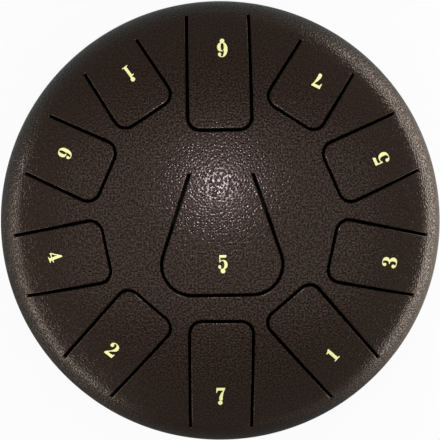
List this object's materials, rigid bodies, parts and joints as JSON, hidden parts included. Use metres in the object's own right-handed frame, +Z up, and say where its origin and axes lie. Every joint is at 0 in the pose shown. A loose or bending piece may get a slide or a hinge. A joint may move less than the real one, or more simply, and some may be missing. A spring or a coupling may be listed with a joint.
{
  "type": "steel tongue drum",
  "caption": "Round steel tongue drum: a domed top with numbered flexing tongues cut into it, welded to a bowl with a sound hole and rubber feet.",
  "frame": {"origin": "on the drum's axis, on the plane that the rubber feet stand on", "axes": "+Z up along the drum's axis; +Y towards the tongue of the low 6, the far one from the player; +X to the player's right"},
  "size_m": [0.254, 0.254, 0.1319],
  "materials": {
    "hammertone_paint": "dark bronze-brown hammertone enamel, semi-gloss, with fine pits",
    "foot_rubber": "matte moulded black rubber",
    "zinc_steel": "bright zinc-plated steel",
    "number_film": "thin pale yellow cut film, satin"
  },
  "bodies": {
    "drum": {"top_shell": "hammertone_paint", "bottom_shell": "hammertone_paint", "rim_weld": "hammertone_paint", "rubber_foot_far": "foot_rubber", "rubber_foot_right": "foot_rubber", "rubber_foot_left": "foot_rubber", "foot_screws": "zinc_steel", "foot_washers": "zinc_steel", "foot_nuts": "zinc_steel"},
    "tongue_low_6": {"tongue_low_6": "hammertone_paint"},
    "tongue_7": {"tongue_7": "hammertone_paint"},
    "tongue_5": {"tongue_5": "hammertone_paint"},
    "tongue_3": {"tongue_3": "hammertone_paint"},
    "tongue_1": {"tongue_1": "hammertone_paint"},
    "tongue_low_7": {"tongue_low_7": "hammertone_paint"},
    "tongue_2": {"tongue_2": "hammertone_paint"},
    "tongue_4": {"tongue_4": "hammertone_paint"},
    "tongue_6": {"tongue_6": "hammertone_paint"},
    "tongue_high_1": {"tongue_high_1": "hammertone_paint"},
    "tongue_low_5": {"tongue_low_5": "hammertone_paint"}
  },
  "joints": [
    {"name": "flex_low_6", "type": "hinge", "parent": "drum", "child": "tongue_low_6", "pos_m": [-0.00203, 0.11645, 0.09341], "axis": [-0.9998, -0.0175, 0], "range_deg": [-0.4, 0.4], "stiffness_Nm_per_rad": 39.6},
    {"name": "flex_7", "type": "hinge", "parent": "drum", "child": "tongue_7", "pos_m": [0.05895, 0.09289, 0.09888], "axis": [-0.8443, 0.5358, 0], "range_deg": [-0.4, 0.4], "stiffness_Nm_per_rad": 63.6},
    {"name": "flex_5", "type": "hinge", "parent": "drum", "child": "tongue_5", "pos_m": [0.10336, 0.0458, 0.09664], "axis": [-0.4051, 0.9143, 0], "range_deg": [-0.4, 0.4], "stiffness_Nm_per_rad": 53.9},
    {"name": "flex_3", "type": "hinge", "parent": "drum", "child": "tongue_3", "pos_m": [0.11153, -0.0233, 0.09588], "axis": [0.2045, 0.9789, 0], "range_deg": [-0.4, 0.4], "stiffness_Nm_per_rad": 48.9},
    {"name": "flex_1", "type": "hinge", "parent": "drum", "child": "tongue_1", "pos_m": [0.07575, -0.08714, 0.09446], "axis": [0.7547, 0.6561, 0], "range_deg": [-0.4, 0.4], "stiffness_Nm_per_rad": 41.7},
    {"name": "flex_low_7", "type": "hinge", "parent": "drum", "child": "tongue_low_7", "pos_m": [0, -0.11546, 0.09446], "axis": [1, 0, 0], "range_deg": [-0.4, 0.4], "stiffness_Nm_per_rad": 40.5},
    {"name": "flex_2", "type": "hinge", "parent": "drum", "child": "tongue_2", "pos_m": [-0.07508, -0.08637, 0.09543], "axis": [0.7547, -0.6561, 0], "range_deg": [-0.4, 0.4], "stiffness_Nm_per_rad": 45.4},
    {"name": "flex_4", "type": "hinge", "parent": "drum", "child": "tongue_4", "pos_m": [-0.11211, -0.02363, 0.09531], "axis": [0.2062, -0.9785, 0], "range_deg": [-0.4, 0.4], "stiffness_Nm_per_rad": 50.2},
    {"name": "flex_6", "type": "hinge", "parent": "drum", "child": "tongue_6", "pos_m": [-0.10213, 0.04419, 0.09801], "axis": [-0.3971, -0.9178, 0], "range_deg": [-0.4, 0.4], "stiffness_Nm_per_rad": 58.9},
    {"name": "flex_high_1", "type": "hinge", "parent": "drum", "child": "tongue_high_1", "pos_m": [-0.06142, 0.0928, 0.09801], "axis": [-0.8339, -0.5519, 0], "range_deg": [-0.4, 0.4], "stiffness_Nm_per_rad": 64.5},
    {"name": "flex_low_5", "type": "hinge", "parent": "drum", "child": "tongue_low_5", "pos_m": [-0.00039, 0.02798, 0.12916], "axis": [-0.9999, -0.014, 0], "range_deg": [-0.4, 0.4], "stiffness_Nm_per_rad": 54.9}
  ]
}
